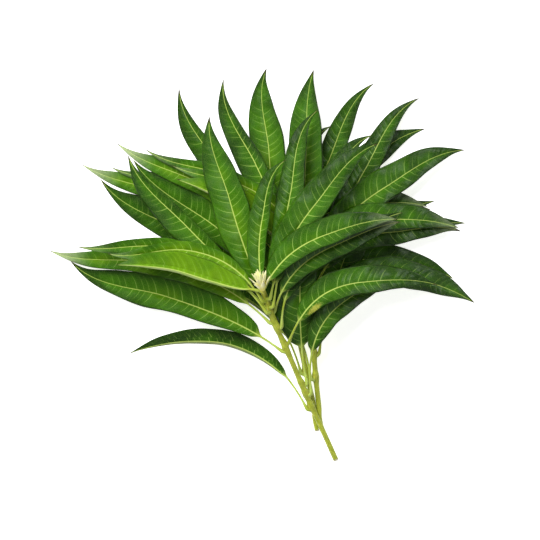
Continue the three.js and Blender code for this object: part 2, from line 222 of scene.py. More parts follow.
leafShape = {
    "stalkRings": 4,  # rings of the frame's leaf that are stalk
    "crown": 0.2 * mm,  # the frame's midrib stands this far above the blade
    "widestAt": 0.42,  # share of the blade's length
    "frameBaseFullness": 0.8,
    "baseFullness": 0.62,
    "frameTipFullness": 1.15,  # of the frame's plainer outline
    "tipFullness": 0.8,
    "drawnTip": (0.5, 0.2),  # how much narrower the drawn-out tip is, and how far down it starts
    "tipHook": 0.026,  # share of the blade by which its far half swings aside, so the tip points clockwise
    "stalkRadius": 1.0 * mm,
    "footSwelling": 0.75 * mm,  # the swollen joint at the foot of a stalk
    "footReach": 7 * mm,
    "jointRun": 6 * mm,  # a stalk leaves the stem's axis this far below its joint
    "jointPoints": 7,
    "thickness": 0.35 * mm,
    "camber": 0.04,  # of the half width
    "grooveDepth": 0.35 * mm,
    "ribHeight": 0.35 * mm,
    "ribHalfWidth": 0.6 * mm,
    "keelDepth": 0.55 * mm,
    "veinSpacing": 8.2 * mm,
    "veinLean": (0.36, 0.42),  # a vein's run forward for each step aside, and how much more at the margin
    "veinRelief": 0.18 * mm,
    "swell": (0.35 * mm, 24 * mm),  # height and length of the slow swells along each half
    "marginPower": 1.35,  # above 1 the points across crowd towards the midrib
    "wander": 0.035,  # of the half width
    "wanderTurns": (19.0, 25.0),  # of the left and right margin, in radians over the blade
    "bulgePlace": (0.6, 0.13),  # share of the blade where a bulge is, and its reach
    "secondWave": (0.4, 0.43),  # height and length of a finer wave, as shares of the margin's first
    "ripplePower": 2.2,  # how closely the waves keep to the margin
    "rippleHalfWidth": 16 * mm,  # the half width at which a kind's ripple has its full height
    "grooveWidth": 2.2,  # in half widths of the midrib
    "patchPlace": ((0.13, 0.07), (0.6, 0.4)),  # place and reach of the yellow patch, along and across
    "stationsOnBlade": 150,
    "crowding": 0.2,
    "lastStation": 0.993,  # share of the blade, before the tip's own point
    "stationStep": 1.6 * mm,  # along the stalk
    "pointsAcross": 20,
}

# by kind of leaf, its slot and:
# tone, 0 deep green to 1 yellow green; fade, how pale its worn end is; dry, length share of the dry tip
# ripple and wave, height and length of the wavy margin in mm; hook, of the tip, against the usual one
# bulge, of the left margin past the middle; wide, how much wider than usual the left half is
# ribAt, where the midrib lies, 0 in the middle and 1 at the left margin; patch, of yellowing near the base
leafKinds = {
    "lower_leaf": {"slot": "dark_leaf", "tone": 0.2, "fade": 0.0, "dry": 0.015, "ripple": 0.8, "wave": 44,
                   "wide": 1.5},
    "lowest_leaf": {"slot": "dark_leaf", "tone": 0.2, "fade": 0.0, "dry": 0.015, "ripple": 0.8, "wave": 40},
    "bowed_leaf": {"slot": "dark_leaf", "tone": 0.16, "fade": 0.0, "dry": 0.02, "ripple": 0.5, "wave": 36,
                   "hook": -0.3, "ribAt": 0.62},
    "dark_leaf": {"slot": "dark_leaf", "tone": 0.38, "fade": 0.0, "dry": 0.02, "ripple": 1.0, "wave": 48,
                  "bulge": 0.28},
    "long_leaf": {"slot": "light_leaf", "tone": 0.72, "fade": 0.7, "dry": 0.012, "ripple": 0.8, "wave": 50},
    "tucked_leaf": {"slot": "dark_leaf", "tone": 0.16, "fade": 0.0, "dry": 0.02, "ripple": 0.8, "wave": 36},
    "drooping_leaf": {"slot": "dark_leaf", "tone": 0.3, "fade": 0.0, "dry": 0.02, "ripple": 1.1, "wave": 42,
                      "hook": 0.6, "patch": 1.0},
    "shaded_leaf": {"slot": "dark_leaf", "tone": 0.15, "fade": 0.3, "dry": 0.03, "ripple": 0.9, "wave": 38},
    "rear_leaf": {"slot": "dark_leaf", "tone": 0.3, "fade": 0.0, "dry": 0.02, "ripple": 0.9, "wave": 40},
    "slanting_leaf": {"slot": "dark_leaf", "tone": 0.3, "fade": 0.0, "dry": 0.025,
                      "ripple": 1.0, "wave": 44},
    "broad_leaf": {"slot": "dark_leaf", "tone": 0.32, "fade": 0.0, "dry": 0.02, "ripple": 1.1, "wave": 46},
    "outer_leaf": {"slot": "light_leaf", "tone": 0.48, "fade": 0.2, "dry": 0.02, "ripple": 0.6, "wave": 38},
    "upright_leaf": {"slot": "light_leaf", "tone": 0.5, "fade": 0.0, "dry": 0.03,
                     "ripple": 0.9, "wave": 44},
    "slender_leaf": {"slot": "light_leaf", "tone": 0.62, "fade": 0.2, "dry": 0.02,
                     "ripple": 0.6, "wave": 36},
    "arching_leaf": {"slot": "dark_leaf", "tone": 0.3, "fade": 0.25, "dry": 0.02,
                     "ripple": 1.0, "wave": 40},
    "bright_leaf": {"slot": "bright_leaf", "tone": 0.84, "fade": 0.1, "dry": 0.02, "ripple": 0.7,
                    "wave": 42, "hook": 0.4, "ribAt": 0.55},
    "inner_leaf": {"slot": "light_leaf", "tone": 0.36, "fade": 0.0, "dry": 0.02, "ripple": 0.7, "wave": 34},
}


# a plain half outline: a rising power of the share from the base times a falling power towards the tip,
# 1 where the blade is widest
def powerOutline(share, baseFullness, tipFullness):
    s = np.clip(share, 1e-4, 1)
    rise = (s / leafShape["widestAt"]) ** baseFullness
    fall = ((1 - s) / (1 - leafShape["widestAt"])) ** tipFullness
    return rise * fall


# the same with fuller shoulders, times a bell near the end that draws the tip out thin
def bladeOutline(share):
    left = (1 - share) / (1 - leafShape["widestAt"])
    depth, reach = leafShape["drawnTip"]
    plain = powerOutline(share, leafShape["baseFullness"], leafShape["tipFullness"])
    return plain * (1 - depth * bell(left, reach))


# the hook's sideways swing: 0 up to the middle of the blade, most at five sixths, 0 again at the tip
def hookSwing(share):
    x = np.clip(2 * share - 1, 0, 1)
    return 6.75 * x**2 * (1 - x)


# the joint: a bend that leaves the stem along its axis and turns into the stalk's own direction
def jointLine(axis, foot, ahead):
    beside = np.linalg.norm(axis - foot, axis=1).argmin()
    below = int(leafShape["jointRun"] / np.linalg.norm(axis[1] - axis[0]))
    leave = max(beside - below, 0)
    near = axis[leave]
    length = np.linalg.norm(foot - near)
    out = unit(axis[leave + 1] - near) * length
    onward = unit(ahead) * length
    x = np.linspace(0, 1, leafShape["jointPoints"], endpoint=False)[:, None]
    start, leaving, end, arriving = curveWeights(x)
    return start * near + leaving * out + end * foot + arriving * onward


def makeLeaf(node, leaf, look, axis, seed):
    shape = leafShape
    pick = np.random.default_rng(seed)
    stalk, total = leaf["stalk"], leaf["knots"][-1]
    blade = total - stalk
    onStalk = np.linspace(0, stalk, max(4, int(stalk / shape["stationStep"])), endpoint=False)
    even = np.linspace(0, 1, shape["stationsOnBlade"] + 1)
    crowd = shape["crowding"]  # of the stations towards the blade's two ends
    spread = (1 - crowd) * even + crowd / 2 * (1 - np.cos(np.pi * even))
    at = np.concatenate([onStalk, stalk + blade * shape["lastStation"] * spread])
    centre = smoothCurve(leaf["knots"], leaf["line"], at)
    joint = jointLine(axis, centre[0], centre[2] - centre[0])
    leadIn = runLength(np.concatenate([joint, centre[:1]]))
    centre = np.concatenate([joint, centre])
    at = np.concatenate([leadIn[:-1] - leadIn[-1], at])
    share = (at - stalk) / blade

    # the section's own frame: along the midrib, level across it, and up
    forward = unit(np.gradient(centre, axis=0))
    level = unit(leftOf(forward))
    hook = shape["tipHook"] * look.get("hook", 1.0) * pick.uniform(0.6, 1.3)
    centre = centre + level * (hook * blade * hookSwing(share))[:, None]
    forward = unit(np.gradient(centre, axis=0))
    level = unit(leftOf(forward))
    upward = np.cross(forward, level)
    across = shape["pointsAcross"]
    step = np.concatenate([np.arange(across + 1), np.arange(across - 1, 0, -1)])
    top = np.concatenate([np.ones(across + 1), -np.ones(across - 1)])
    top[0] = top[across] = 0
    u = 1 - 2 * step / across
    t = np.sign(u) * np.abs(u) ** shape["marginPower"]  # 1 at the left margin, -1 at the right
    angle = np.pi * step / across

    # half width on each side, with a margin that wanders a little
    side = np.where(t >= 0, 0, 1)
    widen = np.where(side == 0, look.get("wide", 1.0), 1.0)
    half = (np.array(leaf["halves"])[side] * widen)[None, :] * bladeOutline(share)[:, None]
    turns = share[:, None] * np.array(shape["wanderTurns"])[side] + pick.uniform(0, 6, 2)[side]
    wander = 1 + shape["wander"] * np.sin(turns)
    bulgeAt, bulgeReach = shape["bulgePlace"]
    wander = wander + look.get("bulge", 0.0) * bell(share[:, None] - bulgeAt, bulgeReach) * (1 - side)
    half = np.maximum(half * wander, shape["stalkRadius"] * smoothStep(1.0, 0.9, share)[:, None])
    x = half * t
    length = share[:, None] * blade
    ribAt = look.get("ribAt", 0.0)
    fromRib = (t - ribAt) / np.where(t > ribAt, 1 - ribAt, 1 + ribAt)  # 0 on the midrib, 1 or -1 at a margin
    ribSide = x - half * ribAt
    size = np.abs(fromRib)[None, :]

    # height over the midrib: the fold of the two halves, their arching, the wavy margin, the cushions
    # between the side veins, and the groove with the midrib standing in it
    fold = np.array(leaf["slopes"])[side][None, :] * np.abs(x)
    arch = shape["camber"] * half * np.sin(np.pi * size**0.85)
    phase = pick.uniform(0, 6, 2)[side][None, :]
    body = smoothStep(0.0, 0.15, share)[:, None] * smoothStep(1.0, 0.85, share)[:, None]
    smaller, shorter = shape["secondWave"]
    rippled = look["ripple"] * mm * np.sin(length / (look["wave"] * mm) * 2 * np.pi + phase)
    second = np.sin(length / (look["wave"] * shorter * mm) * 2 * np.pi + 2 * phase)
    rippled = rippled + smaller * look["ripple"] * mm * second
    ripple = rippled * size ** shape["ripplePower"] * body * half / shape["rippleHalfWidth"]
    lean = shape["veinLean"][0] + shape["veinLean"][1] * size**2
    run = (length - np.abs(ribSide) * lean) / shape["veinSpacing"] + 0.5 * side
    vein = run + 0.24 * np.sin(run * 1.9 + seed) + 0.16 * np.sin(run * 0.83 + 2.1 * seed)
    cushion = shape["veinRelief"] * (1 - np.cos(2 * np.pi * vein)) * smoothStep(0.04, 0.25, size)
    cushion = cushion * smoothStep(1.0, 0.8, size) * body
    taper = 1 - 0.65 * smoothStep(0.0, 1.0, share)[:, None]
    groove = -shape["grooveDepth"] * bell(ribSide, shape["grooveWidth"] * shape["ribHalfWidth"]) * taper
    rib = shape["ribHeight"] * bell(ribSide, shape["ribHalfWidth"] * taper) * taper
    swell = shape["swell"][0] * np.sin(length / shape["swell"][1] * 2 * np.pi + 3 * phase)
    cushion = cushion + swell * np.sin(np.pi * size) * body
    upper = arch + ripple + cushion + groove + rib
    keel = shape["keelDepth"] * bell(ribSide, shape["ribHalfWidth"] * taper) * taper
    lower = arch + ripple + cushion + groove - shape["thickness"] - keel
    rim = arch + ripple
    skin = np.where(top > 0, upper, np.where(top < 0, lower, rim))

    # the round stalk opens into the blade
    opened = smoothStep(-0.015, 0.05, share)[:, None]
    beyondFoot = np.maximum(at + 1 * mm, 0)
    stalkRadius = shape["stalkRadius"] + shape["footSwelling"] * bell(beyondFoot, shape["footReach"])
    sideways = (1 - opened) * stalkRadius[:, None] * np.cos(angle) + opened * x
    raised = (1 - opened) * stalkRadius[:, None] * np.sin(angle) * np.sign(top) + opened * skin
    rings = (centre[:, None] + level[:, None] * sideways[..., None] + upward[:, None] * raised[..., None]
             + np.array([0, 0, 1]) * (opened * fold)[..., None])
    uv = np.stack(np.broadcast_arrays(0.5 + 0.5 * t[None, :], share[:, None]), axis=-1)
    turnedUp = (ribAt > 0) & (t > ribAt)  # past a midrib that lies by the margin, the pale underside shows
    (patchAt, patchReach), (patchAcross, patchWidth) = shape["patchPlace"]
    yellowing = bell(share[:, None] - patchAt, patchReach)
    yellowing = yellowing * bell(fromRib[None, :] + patchAcross, patchWidth)
    attributes = {
        "alongBlade": share[:, None], "acrossBlade": fromRib[None, :], "veinPhase": vein,
        "ribDistance": (sideways - opened * half * ribAt) / mm,
        "underside": np.where(top < 0, 1.0, 1.0 * turnedUp)[None, :],
        "yellowing": look.get("patch", 0.0) * yellowing,
        "leafTone": np.full((1, 1), look["tone"] + pick.uniform(-0.04, 0.04)),
        "leafFade": np.full((1, 1), look["fade"]), "dryTip": np.full((1, 1), look["dry"]),
    }
    return makeShell("leaf_" + node, rings, centre[0], leaf["line"][-1], uv, attributes)


stemShape = {
    "step": 0.9 * mm,
    "around": 28,
    "ridges": 5,
    "ridgeHeight": 0.09 * mm,
    "tipRadius": 2.7 * mm,
    "cushion": 0.7 * mm,  # swelling under each leaf's joint
    "whorlReach": 32 * mm,  # so near the tip, where the joints crowd, they swell and scar less
    "cushionReach": 3.4 * mm,
    "collar": 0.22 * mm,  # fine ring at each joint
    "collarPlace": 3.2 * mm, "collarWidth": 0.7 * mm,  # above the joint
    "scarPlace": 1.5 * mm, "scarWidth": 3 * mm,
    "axisPoints": 400,  # of the even line that the stalks leave from
    "ridgeDrift": (0.9, 30 * mm),  # how far and how slowly the ridges wander round
    "lump": (0.07 * mm, 4.5 * mm),  # height and length of the fine unevenness
    "cutLean": 0.35,
    "cutRings": ((0.8, 0.05), (0.45, 0.12), (0.15, 0.15), (0.04, 0.1)),  # how far in, and bulge in mm
    "lipRings": 6,  # rings that follow the slanting cut
    "crownRings": ((0.92, 0.5), (0.7, 1.0), (0.35, 1.3)),  # share of the radius, and lift in mm
    "forkRun": 14 * mm,  # a side stem joins the main one this far below the fork
    "forkShort": 0.1,  # and stops this share of the way short of the main stem's axis
    "forkRadius": 0.85,  # of its first radius
}


def makeStem(name, axis, radius, feet, seed, cutFoot):
    shape = stemShape
    pick = np.random.default_rng(seed)
    knots = runLength(axis)
    at = np.linspace(0, knots[-1], int(knots[-1] / shape["step"]))
    centre = smoothCurve(knots, axis, at)
    forward = unit(np.gradient(centre, axis=0))
    level = leftOf(forward)
    flat = np.linalg.norm(level, axis=1)
    upright = flat < 0.25  # where the tip turns up, the sideways direction is the last one before it
    keep = np.maximum.accumulate(np.where(upright, 0, np.arange(len(flat))))
    level = unit(level[keep])
    upward = unit(np.cross(forward, level))
    angle = np.linspace(0, 2 * np.pi, shape["around"], endpoint=False)
    spoke = level[:, None] * np.cos(angle)[None, :, None] + upward[:, None] * np.sin(angle)[None, :, None]
    thick = np.interp(at, knots, radius)[:, None] * np.ones(len(angle))
    drift, driftLength = shape["ridgeDrift"]
    turned = shape["ridges"] * angle[None, :] + drift * np.sin(at[:, None] / driftLength)
    thick = thick + shape["ridgeHeight"] * np.cos(turned)
    lumpHeight, lumpLength = shape["lump"]
    lumps = lumpHeight * np.sin(at[:, None] / lumpLength + pick.uniform(0, 6))
    thick = thick + lumps * np.sin(2 * angle[None, :] + seed)
    nearJoint = np.zeros_like(thick)
    for foot in feet:
        place = np.linalg.norm(centre - foot, axis=1).argmin()
        out = unit((foot - centre[place])[None])[0]
        facing = np.clip(np.einsum("ijk,k->ij", spoke, out), 0, 1)
        here = bell(at - at[place], shape["cushionReach"])[:, None]
        apart = smoothStep(0.0, shape["whorlReach"], at[-1] - at[place])
        thick = thick + apart * shape["cushion"] * here * facing**2
        collar = bell(at - at[place] - shape["collarPlace"], shape["collarWidth"])[:, None]
        thick = thick + apart * shape["collar"] * collar
        scar = bell(at - at[place] - shape["scarPlace"], shape["scarWidth"])[:, None]
        mark = apart * scar * (0.4 + 0.6 * facing)
        nearJoint = np.maximum(nearJoint, mark)
    rings = centre[:, None] + spoke * thick[..., None]
    onCut = np.zeros_like(thick)
    if cutFoot:  # a slanting cut with a rounded lip, then the cut face itself
        lip = shape["lipRings"]
        slant = (forward[0] * shape["cutLean"])[None, None] * (thick[:lip] * np.sin(angle))[..., None]
        rings[:lip] += slant * np.linspace(1, 0.1, lip)[:, None, None]
        face = [rings[0] * (1 - inward) + rings[0].mean(axis=0) * inward - forward[0] * bulge * mm
                for inward, bulge in shape["cutRings"]]
        rings = np.concatenate([np.array(face), rings])
        onCut = np.concatenate([np.ones((len(face), len(angle))), onCut])
        nearJoint = np.concatenate([np.zeros((len(face), len(angle))), nearJoint])
        at = np.concatenate([np.zeros(len(face)), at])
    crown = [centre[-1] + spoke[-1] * thick[-1][:, None] * inset + forward[-1] * lift * mm
             for inset, lift in shape["crownRings"]]
    rings = np.concatenate([rings, np.array(crown)])
    onCrown = np.zeros((len(crown), len(angle)))
    at = np.concatenate([at, np.full(len(crown), at[-1])])
    uv = np.stack(np.broadcast_arrays((angle / (2 * np.pi))[None, :], at[:, None] / 0.02), axis=-1)
    attributes = {
        "alongStem": at[:, None] / max(at[-1], 1e-6),
        "jointMark": np.concatenate([nearJoint, onCrown]), "cutFace": np.concatenate([onCut, onCrown]),
    }
    first = rings[0].mean(axis=0)
    last = rings[-1].mean(axis=0) + forward[-1] * 0.1 * mm
    return makeShell(name, rings, first, last, uv, attributes)


budShape = {
    "lean": 0.85,  # towards the way the shoot runs, for each step up
    "whorls": [  # bracts in a ring, lean from the bud's axis in degrees, length and half width as shares
        {"count": 5, "lean": 31, "length": 0.72, "width": 0.11, "curl": 0.5},
        {"count": 5, "lean": 23, "length": 0.86, "width": 0.125, "curl": 0.3},
        {"count": 4, "lean": 14, "length": 0.93, "width": 0.13, "curl": 0.1},
        {"count": 3, "lean": 7, "length": 0.90, "width": 0.12, "curl": 0.0},
    ],
    "whorlRise": 0.06,  # of the bud's length, from one whorl to the next
    "whorlRadius": 0.05,
    "stations": 22,
    "around": 14,
}


# one bract: a pointed scoop carried along a curved line, widest a third of the way up
def bractRings(foot, axis, out, length, halfWidth, curl):
    x = np.linspace(0, 0.985, budShape["stations"])
    bend = curl * x**2 * 0.5
    centre = foot + length * (x[:, None] * unit((axis + out)[None])[0] + bend[:, None] * out * 0.6)
    forward = unit(np.gradient(centre, axis=0))
    sideways = unit(np.cross(forward, axis))
    inward = unit(np.cross(sideways, forward))
    width = halfWidth * np.sin(np.pi * np.clip(x, 0, 1) ** 0.75) ** 0.8 + 0.25 * mm * (1 - x)
    angle = np.linspace(0, 2 * np.pi, budShape["around"], endpoint=False)
    thick = np.minimum(0.35 * mm, width * 0.4)[:, None] * np.sin(angle)
    scoop = 0.45 * width[:, None] * np.cos(angle) ** 2
    return (centre[:, None] + sideways[:, None] * (width[:, None] * np.cos(angle))[..., None]
            + inward[:, None] * (thick + scoop)[..., None]), centre[0], foot + (centre[-1] - foot) * 1.01, x


def joinPieces(name, pieces):
    bpy.ops.object.select_all(action="DESELECT")
    for piece in pieces:
        piece.select_set(True)
    bpy.context.view_layer.objects.active = pieces[0]
    bpy.ops.object.join()
    joined = bpy.context.view_layer.objects.active
    joined.name = joined.data.name = name
    return joined


def makeBud(name, node, onward, seed):
    pick = np.random.default_rng(seed)
    points, linked = weldedNode(node)
    apart = np.linalg.norm(points[:, None] - points[None], axis=2)
    ends = points[list(np.unravel_index(apart.argmax(), apart.shape))]
    foot, tip = ends[np.argsort(ends[:, 2])]
    length = np.linalg.norm(tip - foot)
    axis = unit((unit((tip - foot)[None])[0] + budShape["lean"] * onward)[None])[0]
    aside = unit(np.cross(axis, [0, 0, 1])[None])[0]
    behind = np.cross(aside, axis)
    bracts = []
    for level, whorl in enumerate(budShape["whorls"]):
        for k in range(whorl["count"]):
            turn = 2 * np.pi * (k + 0.4 * level) / whorl["count"] + pick.uniform(-0.2, 0.2)
            lean = math.tan(math.radians(whorl["lean"] + pick.uniform(-6, 6)))
            out = (aside * np.cos(turn) + behind * np.sin(turn)) * lean
            long = length * whorl["length"] * pick.uniform(0.85, 1.05)
            base = (foot + axis * length * budShape["whorlRise"] * level
                    + unit(out[None])[0] * length * budShape["whorlRadius"])
            halfWidth = whorl["width"] * length
            rings, first, last, x = bractRings(base, axis, out, long, halfWidth, whorl["curl"])
            around = np.linspace(0, 1, budShape["around"])
            uv = np.stack(np.broadcast_arrays(around[None, :], x[:, None]), axis=-1)
            tint = np.full((1, 1), pick.uniform(0, 1))
            bracts.append(makeShell(f"{name}_{level}_{k}", rings, first, last, uv,
                                    {"alongBract": x[:, None], "bractTint": tint}))
    return joinPieces(name, bracts)


# a node tree and a few short ways to fill it
class Nodes:
    def __init__(self, tree):
        self.tree = tree

    def add(self, kind, **settings):
        node = self.tree.nodes.new(kind)
        for name, value in settings.items():
            setattr(node, name, value)
        return node

    def put(self, value, socket):
        if isinstance(value, bpy.types.NodeSocket):
            self.tree.links.new(value, socket)
        elif value is not None:
            socket.default_value = value

    def math(self, operation, first, second=None, third=None, clamp=False):
        node = self.add("ShaderNodeMath", operation=operation, use_clamp=clamp)
        for value, socket in zip((first, second, third), node.inputs):
            self.put(value, socket)
        return node.outputs[0]

    def between(self, value, low, high, start=0.0, end=1.0):  # smooth S from start to end
        node = self.add("ShaderNodeMapRange", interpolation_type="SMOOTHSTEP")
        for given, socket in zip((value, low, high, start, end), node.inputs):
            self.put(given, socket)
        return node.outputs[0]

    def mix(self, factor, first, second, blend="MIX"):
        node = self.add("ShaderNodeMix", data_type="RGBA", blend_type=blend)
        self.put(factor, node.inputs[0])
        self.put(first, node.inputs[6])
        self.put(second, node.inputs[7])
        return node.outputs[2]

    def number(self, name):
        return self.add("ShaderNodeAttribute", attribute_name=name).outputs["Fac"]

    def noise(self, scale, detail=3.0, roughness=0.5, vector=None):
        node = self.add("ShaderNodeTexNoise")
        self.put(vector, node.inputs["Vector"])
        node.inputs["Scale"].default_value = scale
        node.inputs["Detail"].default_value = detail
        node.inputs["Roughness"].default_value = roughness
        return node.outputs["Fac"]

    def objectPlace(self):
        return self.add("ShaderNodeTexCoord").outputs["Object"]

    def group(self, tree, **values):
        node = self.add("ShaderNodeGroup", node_tree=tree)
        for name, value in values.items():
            self.put(value, node.inputs[name.replace("_", " ")])
        return node.outputs


def newGroup(name, inputs, outputs):
    tree = bpy.data.node_groups.new(name, "ShaderNodeTree")
    for label, default in inputs:
        socket = tree.interface.new_socket(name=label, in_out="INPUT", socket_type="NodeSocketFloat")
        socket.default_value = default
    for label in outputs:
        tree.interface.new_socket(name=label, in_out="OUTPUT", socket_type="NodeSocketFloat")
    nodes = Nodes(tree)
    return tree, nodes, nodes.add("NodeGroupInput").outputs, nodes.add("NodeGroupOutput").inputs


def newMaterial(name):
    material = bpy.data.materials.new(name)
    material.use_nodes = True
    nodes = Nodes(material.node_tree)
    return material, nodes, material.node_tree.nodes["Principled BSDF"]


# fine relief: strength of the bump, and how deep it goes in mm
def addBump(n, skin, height, strength, depth):
    bump = n.add("ShaderNodeBump")
    bump.inputs["Strength"].default_value = strength
    bump.inputs["Distance"].default_value = depth * mm
    n.put(height, bump.inputs["Height"])
    n.put(bump.outputs[0], skin.inputs["Normal"])


# the piece's own map, drawn out lengthways
def stretchedPlace(n, around, along):
    stretch = n.add("ShaderNodeMapping")
    n.put(n.add("ShaderNodeUVMap", uv_map="surface").outputs[0], stretch.inputs["Vector"])
    stretch.inputs["Scale"].default_value = (around, along, 1)
    return stretch.outputs[0]


# side veins where the vein phase is whole, and the midrib, as masks with their relief
def veinGroup():
    tree, n, given, out = newGroup(
        "side veins and midrib",
        [("Phase", 0.0), ("Across", 0.0), ("Rib Distance", 0.0), ("Along", 0.0), ("Vein Width", 0.06),
         ("Rib Width", 1.0)],
        ["Veins", "Midrib", "Relief"])
    near = n.math("PINGPONG", given["Phase"], 0.5)
    size = n.math("ABSOLUTE", given["Across"])
    thin = n.between(size, 0.1, 0.95, 1.0, 0.35)
    width = n.math("MULTIPLY", given["Vein Width"], thin)
    line = n.between(near, n.math("MULTIPLY", width, 0.3), n.math("MULTIPLY", width, 1.6), 1.0, 0.0)
    line = n.math("MULTIPLY", line, n.between(size, 0.55, 0.96, 1.0, 0.12))
    line = n.math("MULTIPLY", line, n.between(given["Along"], 0.5, 0.92, 1.0, 0.12))
    off = n.math("ABSOLUTE", given["Rib Distance"])
    ribWidth = n.math("MULTIPLY", given["Rib Width"], n.between(given["Along"], 0.0, 1.0, 1.0, 0.3))
    rib = n.between(off, n.math("MULTIPLY", ribWidth, 0.55), n.math("MULTIPLY", ribWidth, 1.25), 1.0, 0.0)
    n.put(line, out["Veins"])
    n.put(rib, out["Midrib"])
    n.put(n.math("ADD", n.math("MULTIPLY", line, 0.5), n.math("MULTIPLY", rib, 0.8)), out["Relief"])
    return tree


# broad and fine blotches of a living surface, both about 0 to 1
def mottleGroup():
    tree, n, given, out = newGroup(
        "plant mottle", [("Broad Scale", 60.0), ("Fine Scale", 700.0)], ["Broad", "Fine"])
    for label, detail in (("Broad", 2.0), ("Fine", 4.0)):
        noise = n.add("ShaderNodeTexNoise")
        n.put(n.objectPlace(), noise.inputs["Vector"])
        n.put(given[label + " Scale"], noise.inputs["Scale"])
        noise.inputs["Detail"].default_value = detail
        n.put(n.between(noise.outputs["Fac"], 0.3, 0.7), out[label])
    return tree


# a dried point: full past the share that stays green, with a ragged front
def dryGroup():
    tree, n, given, out = newGroup(
        "dried tip", [("Along", 0.0), ("Dry Share", 0.02), ("Ragged", 0.5)], ["Dry"])
    ragged = n.math("MULTIPLY", n.math("SUBTRACT", given["Ragged"], 0.5), 0.03)
    place = n.math("ADD", given["Along"], ragged)
    start = n.math("SUBTRACT", 1.0, n.math("MULTIPLY", given["Dry Share"], 1.6))
    end = n.math("SUBTRACT", 1.0, n.math("MULTIPLY", given["Dry Share"], 0.6))
    n.put(n.between(place, start, end), out["Dry"])
    return tree


leafFinish = {
    "deep": (0.004, 0.030, 0.0006, 1), "middle": (0.036, 0.138, 0.0008, 1),
    "fresh": (0.14, 0.30, 0.0008, 1),
    # shade is the painted shade laid between the side veins
    "shade": (0.002, 0.018, 0.0006, 1), "vein": (0.30, 0.46, 0.09, 1), "rib": (0.46, 0.58, 0.12, 1),
    "under": (0.25, 0.30, 0.12, 1), "yellowed": (0.36, 0.36, 0.05, 1), "faded": (0.55, 0.62, 0.36, 1),
    "dried": (0.030, 0.018, 0.008, 1), "margin": (0.05, 0.08, 0.01, 1), "stalk": (0.36, 0.44, 0.04, 1),
    "veinWidth": 0.030, "ribWidth": 0.66, "netScale": 620.0, "specular": 0.24,
}


def leafMaterial(name, gloss, veinStrength):
    finish = leafFinish
    material, n, skin = newMaterial(name)
    along, across = n.number("alongBlade"), n.number("acrossBlade")
    underside, tone = n.number("underside"), n.number("leafTone")
    mottle = n.group(groups["mottle"], Broad_Scale=45.0, Fine_Scale=900.0)
    veins = n.group(groups["veins"], Phase=n.number("veinPhase"), Across=across, Along=along,
                    Rib_Distance=n.number("ribDistance"), Vein_Width=finish["veinWidth"],
                    Rib_Width=finish["ribWidth"])
    dry = n.group(groups["dry"], Along=along, Dry_Share=n.number("dryTip"), Ragged=mottle["Fine"])["Dry"]
    size = n.math("ABSOLUTE", across)

    # green of the blade: the leaf's own tone and blotches, with painted shade that makes it lighter beside
    # the midrib and darker towards the margins and the tip
    green = n.math("ADD", tone, n.math("MULTIPLY", n.math("SUBTRACT", mottle["Broad"], 0.5), 0.24))
    green = n.math("ADD", green, n.between(size, 0.0, 0.9, 0.13, -0.12))
    green = n.math("ADD", green, n.between(along, 0.3, 1.0, 0.07, -0.26), clamp=True)
    colour = n.mix(n.between(green, -0.08, 0.52), finish["deep"], finish["middle"])
    colour = n.mix(n.between(green, 0.40, 1.0), colour, finish["fresh"])
    # painted shade: the blade darkens midway between the side veins, part way towards the shade colour
    between = n.between(n.math("PINGPONG", n.number("veinPhase"), 0.5), 0.0, 0.5, 0.0, 0.35)
    colour = n.mix(between, colour, n.mix(0.5, colour, finish["shade"]))
    net = n.add("ShaderNodeTexVoronoi", feature="DISTANCE_TO_EDGE")
    n.put(n.objectPlace(), net.inputs["Vector"])
    net.inputs["Scale"].default_value = finish["netScale"]
    fineNet = n.between(net.outputs["Distance"], 0.02, 0.16, 1.0, 0.0)
    colour = n.mix(n.math("MULTIPLY", fineNet, 0.10), colour, finish["vein"])
    colour = n.mix(n.math("MULTIPLY", veins["Veins"], veinStrength), colour, finish["vein"])
    colour = n.mix(n.between(size, 0.955, 0.995, 0.0, 0.45), colour, finish["margin"])
    colour = n.mix(n.math("MULTIPLY", underside, 0.9), colour,
                   n.mix(n.math("MULTIPLY", mottle["Broad"], 0.4), finish["under"], colour))
    colour = n.mix(n.math("MULTIPLY", veins["Midrib"], 0.92), colour, finish["rib"])
    patch = n.math("MULTIPLY", n.number("yellowing"), n.math("ADD", mottle["Fine"], 0.6))
    patch = n.between(patch, 0.3, 0.9)
    colour = n.mix(n.math("MULTIPLY", patch, 0.8), colour, finish["yellowed"])
    faded = n.math("MULTIPLY", n.number("leafFade"), n.between(along, 0.78, 0.99))
    worn = n.math("MULTIPLY", faded, n.between(mottle["Fine"], 0.0, 1.0, 0.7, 1.0))
    colour = n.mix(worn, colour, finish["faded"])
    colour = n.mix(n.between(along, -0.01, 0.05, 1.0, 0.0), colour,
                   n.mix(mottle["Broad"], finish["stalk"], finish["rib"]))
    colour = n.mix(n.math("MULTIPLY", dry, 0.9), colour, finish["dried"])
    n.put(colour, skin.inputs["Base Color"])
    skin.inputs["Specular IOR Level"].default_value = finish["specular"]

    rough = n.math("ADD", gloss, n.math("MULTIPLY", mottle["Fine"], 0.10))
    rough = n.math("ADD", rough, n.math("MULTIPLY", underside, 0.22))
    n.put(n.math("ADD", rough, n.math("MULTIPLY", dry, 0.3), clamp=True), skin.inputs["Roughness"])
    height = n.math("ADD", n.math("MULTIPLY", veins["Relief"], 0.8), n.math("MULTIPLY", fineNet, -0.12))
    height = n.math("ADD", height, n.math("MULTIPLY", mottle["Fine"], 0.10))
    addBump(n, skin, height, 0.55, 0.25)
    return material


stemFinish = {
    "green": (0.26, 0.33, 0.012, 1), "yellow": (0.52, 0.55, 0.06, 1), "olive": (0.15, 0.19, 0.006, 1),
    "scar": (0.30, 0.24, 0.04, 1), "young": (0.66, 0.62, 0.06, 1), "cut": (0.70, 0.66, 0.40, 1),
    "pith": (0.42, 0.36, 0.18, 1), "roughness": 0.42,
}


